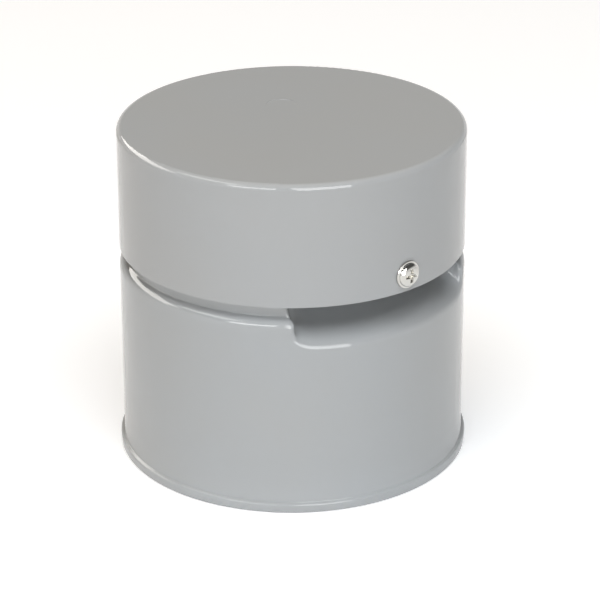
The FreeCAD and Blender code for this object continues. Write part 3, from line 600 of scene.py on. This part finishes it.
SCREW_COUNT = 2
STEEL_BRIGHT = (0.64, 0.635, 0.61)
STEEL_DULL = (0.58, 0.565, 0.53)
plated_steel = skin_material(
    "plated_steel", (STEEL_BRIGHT, STEEL_DULL), (0.05, 0.14), ripple=0.000002, flow=700.0,
    ripple_scale=2500.0, metallic=1.0)
ring_of_screws = new_piece("ring_of_screws", bpy.data.meshes.new("ring_of_screws"))
ring_modifier = ring_of_screws.modifiers.new("screws", "NODES")
ring_modifier.node_group = screws_tree()
identifiers = {item.name: item.identifier for item in ring_modifier.node_group.interface.items_tree}
ring_modifier[identifiers["Screw"]] = screw
ring_modifier[identifiers["Count"]] = SCREW_COUNT
ring_modifier[identifiers["Material"]] = plated_steel
bpy.context.view_layer.update()
evaluated = ring_of_screws.evaluated_get(bpy.context.evaluated_depsgraph_get())
screws_mesh = bpy.data.meshes.new_from_object(evaluated)
ring_of_screws.modifiers.clear()
for helper in (ring_of_screws, screw, cutter):
    bpy.data.objects.remove(helper)
screws_mesh.name = "bright_screws"
screws_mesh.shade_smooth()
screws_mesh.set_sharp_from_angle(angle=SCREW_SHARP_EDGE)
bright_screws = new_piece("bright_screws", screws_mesh)
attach(bright_screws, "housing")
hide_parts("cap_screws")

# Studio. A white floor in a white room, with large soft boxes over and before the valve and one warm one
# behind it. What a camera or a gloss sees of the floor is lifted to white, and its shadow stays.
FLOOR_HALF, FLOOR_DROP = 4.0, 0.0002
FLOOR_WHITE, FLOOR_LIFT = (0.93, 0.93, 0.93, 1), 0.3
floor_mesh = bpy.data.meshes.new("floor")
corners = [(x * FLOOR_HALF, y * FLOOR_HALF, -FLOOR_DROP) for x, y in ((-1, -1), (1, -1), (1, 1), (-1, 1))]
floor_mesh.from_pydata(corners, [], [(0, 1, 2, 3)])
floor = bpy.data.objects.new("floor", floor_mesh)
bpy.context.scene.collection.objects.link(floor)


def seen_directly(tree):
    """The Light Path node, and a value of 1 for what the camera, a gloss or a clear piece sees, else 0."""
    path = tree.nodes.new("ShaderNodeLightPath")
    either = tree.nodes.new("ShaderNodeMath")
    either.operation = "MAXIMUM"
    tree.links.new(path.outputs["Is Camera Ray"], either.inputs[0])
    tree.links.new(path.outputs["Is Glossy Ray"], either.inputs[1])
    any_of = tree.nodes.new("ShaderNodeMath")
    any_of.operation = "MAXIMUM"
    tree.links.new(either.outputs["Value"], any_of.inputs[0])
    tree.links.new(path.outputs["Is Transmission Ray"], any_of.inputs[1])
    return path, any_of.outputs["Value"]


white = bpy.data.materials.new("white_floor")
white.use_nodes = True
tree = white.node_tree
floor_shader = tree.nodes["Principled BSDF"]
floor_shader.inputs["Base Color"].default_value = FLOOR_WHITE
floor_shader.inputs["Roughness"].default_value = 0.9
floor_shader.inputs["Specular IOR Level"].default_value = 0.0
floor_shader.inputs["Emission Color"].default_value = (1, 1, 1, 1)
lift = tree.nodes.new("ShaderNodeMath")
lift.operation = "MULTIPLY"
lift.inputs[1].default_value = FLOOR_LIFT
tree.links.new(seen_directly(tree)[1], lift.inputs[0])
tree.links.new(lift.outputs["Value"], floor_shader.inputs["Emission Strength"])
floor_mesh.materials.append(white)

# The room is white where the camera looks. A gloss sees it white near the floor and dim above.
ROOM_CEILING, WHITE_BELOW, DIM_ABOVE = 0.1, math.radians(2), math.radians(22)
room = bpy.data.worlds.new("room")
bpy.context.scene.world = room
room.use_nodes = True
tree = room.node_tree
background = tree.nodes["Background"]
direction = tree.nodes.new("ShaderNodeTexCoord")
height = tree.nodes.new("ShaderNodeSeparateXYZ")
tree.links.new(direction.outputs["Generated"], height.inputs["Vector"])
fade = tree.nodes.new("ShaderNodeMapRange")
fade.interpolation_type = "SMOOTHSTEP"
fade.inputs["From Min"].default_value = math.sin(WHITE_BELOW)
fade.inputs["From Max"].default_value = math.sin(DIM_ABOVE)
fade.inputs["To Min"].default_value = 1.0
fade.inputs["To Max"].default_value = ROOM_CEILING
tree.links.new(height.outputs["Z"], fade.inputs["Value"])
path, seen = seen_directly(tree)
brighter = tree.nodes.new("ShaderNodeMath")
brighter.operation = "MAXIMUM"
tree.links.new(fade.outputs["Result"], brighter.inputs[0])
tree.links.new(path.outputs["Is Camera Ray"], brighter.inputs[1])
shown = tree.nodes.new("ShaderNodeMath")
shown.operation = "MULTIPLY"
tree.links.new(brighter.outputs["Value"], shown.inputs[0])
tree.links.new(seen, shown.inputs[1])
background.inputs["Color"].default_value = (1, 1, 1, 1)
tree.links.new(shown.outputs["Value"], background.inputs["Strength"])


VALVE_MIDDLE = Vector((0, 0, 0.06))


def soft_box(name, azimuth, elevation, distance, width, height, glow, in_gloss, in_matt=True):
    """A rectangular soft box that looks at the valve. Its glow is its radiance, where 1 is white."""
    lamp = bpy.data.lights.new(name, "AREA")
    lamp.shape = "RECTANGLE"
    lamp.size, lamp.size_y = width, height
    lamp.energy = max(glow) * math.pi * width * height
    lamp.color = [channel / max(glow) for channel in glow]
    box = bpy.data.objects.new(name, lamp)
    bpy.context.scene.collection.objects.link(box)
    turn, rise = math.radians(azimuth), math.radians(elevation)
    away = Vector((math.cos(rise) * math.cos(turn), math.cos(rise) * math.sin(turn), math.sin(rise)))
    box.location = VALVE_MIDDLE + distance * away
    box.rotation_euler = away.to_track_quat("Z", "Y").to_euler()
    box.visible_glossy = in_gloss
    box.visible_diffuse = in_matt


# The wide boxes give the even light, and no gloss shows them. The windows are what the glosses show. Each has
# its azimuth and elevation in degrees, then its distance, width and height.
soft_box("ceiling", 51, 85, 2.2, 1.8, 1.8, (1.4, 1.35, 1.25), in_gloss=False)
soft_box("front_high", -129, 65, 2.4, 2.4, 1.3, (4.45, 4.6, 4.8), in_gloss=False)
soft_box("front_low", -129, 7, 2.6, 2.2, 0.56, (4.4, 4.65, 5.0), in_gloss=False)
soft_box("left_low", -175, 8, 2.6, 1.4, 0.6, (0.35, 0.3, 0.2), in_gloss=False)
soft_box("back_warm", 113, 46, 2.4, 2.6, 1.6, (0.5, 0.3, 0.1), in_gloss=False)
soft_box("back_window", 109, 33, 1.25, 1.42, 0.42, (5.6, 5.4, 5.1), in_gloss=True, in_matt=False)
soft_box("high_window", 156, 56, 1.25, 0.9, 0.26, (4.6, 4.6, 4.5), in_gloss=True, in_matt=False)
soft_box("left_window", -155, 24, 1.3, 0.66, 0.45, (7.5, 7.5, 7.5), in_gloss=True, in_matt=False)
soft_box("front_window", -110, 14, 1.3, 0.8, 1.4, (6.0, 6.0, 6.0), in_gloss=True, in_matt=False)

# Camera. It stands where the photograph's did, as solved from the object's outline. It looks down at the
# valve by some 24 degrees, straight at the end of the front inlet.
CAMERA_PLACE = (-0.48978, -0.60251, 0.39936)
CAMERA_TURN, CAMERA_DIP, CAMERA_ROLL = -39.3, 24.239, -0.172
CAMERA_LENS = 148.957
camera_data = bpy.data.cameras.new("camera")
camera_data.lens = CAMERA_LENS
camera_data.sensor_width = 36.0
camera_data.clip_start = 0.01
camera = bpy.data.objects.new("camera", camera_data)
bpy.context.scene.collection.objects.link(camera)
camera.matrix_world = (
    Matrix.Translation(CAMERA_PLACE)
    @ Matrix.Rotation(math.radians(CAMERA_TURN), 4, "Z")
    @ Matrix.Rotation(math.radians(90 - CAMERA_DIP), 4, "X")
    @ Matrix.Rotation(math.radians(CAMERA_ROLL), 4, "Z"))
bpy.context.scene.camera = camera
bpy.context.scene.view_settings.view_transform = "Standard"

bpy.context.view_layer.update()
